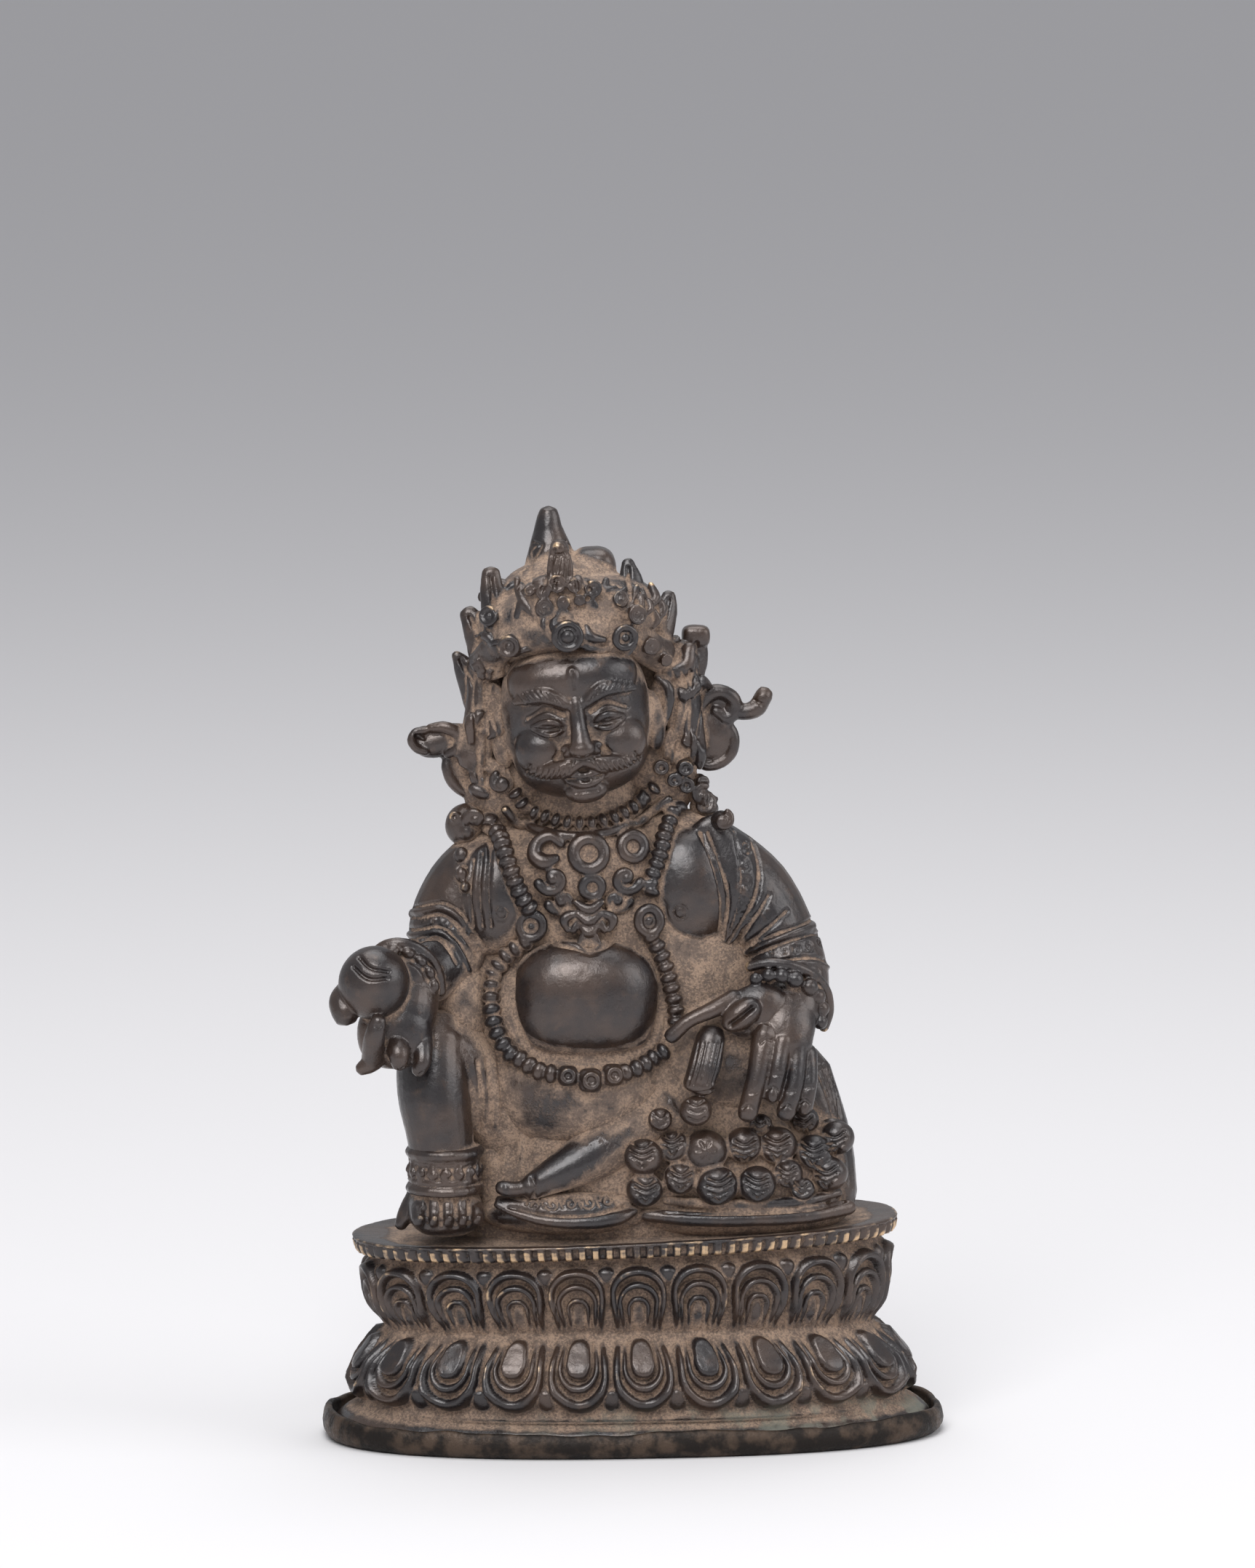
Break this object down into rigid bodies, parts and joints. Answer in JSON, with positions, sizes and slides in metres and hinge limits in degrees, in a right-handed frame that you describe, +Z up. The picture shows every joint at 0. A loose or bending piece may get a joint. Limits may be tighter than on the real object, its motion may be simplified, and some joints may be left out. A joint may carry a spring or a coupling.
{
  "type": "jambhala statue",
  "caption": "Small cast bronze figure of Jambhala seated on a double lotus pedestal, with a rolled sheet-metal plate closing the foot.",
  "frame": {"origin": "on the ground, at the middle of the oval foot", "axes": "+X towards the viewer's right, the figure's own left; +Y away from the viewer, towards the figure's back; +Z up"},
  "size_m": [0.085, 0.041, 0.127],
  "materials": {
    "patinated_bronze": "dark brown polished patina with tan dirt in the hollows and bright worn metal on the high spots",
    "rolled_plate": "near-black patinated sheet, worn along its rolled edge"
  },
  "bodies": {
    "root": {"base_plate": "rolled_plate", "statue": "patinated_bronze"}
  },
  "joints": []
}
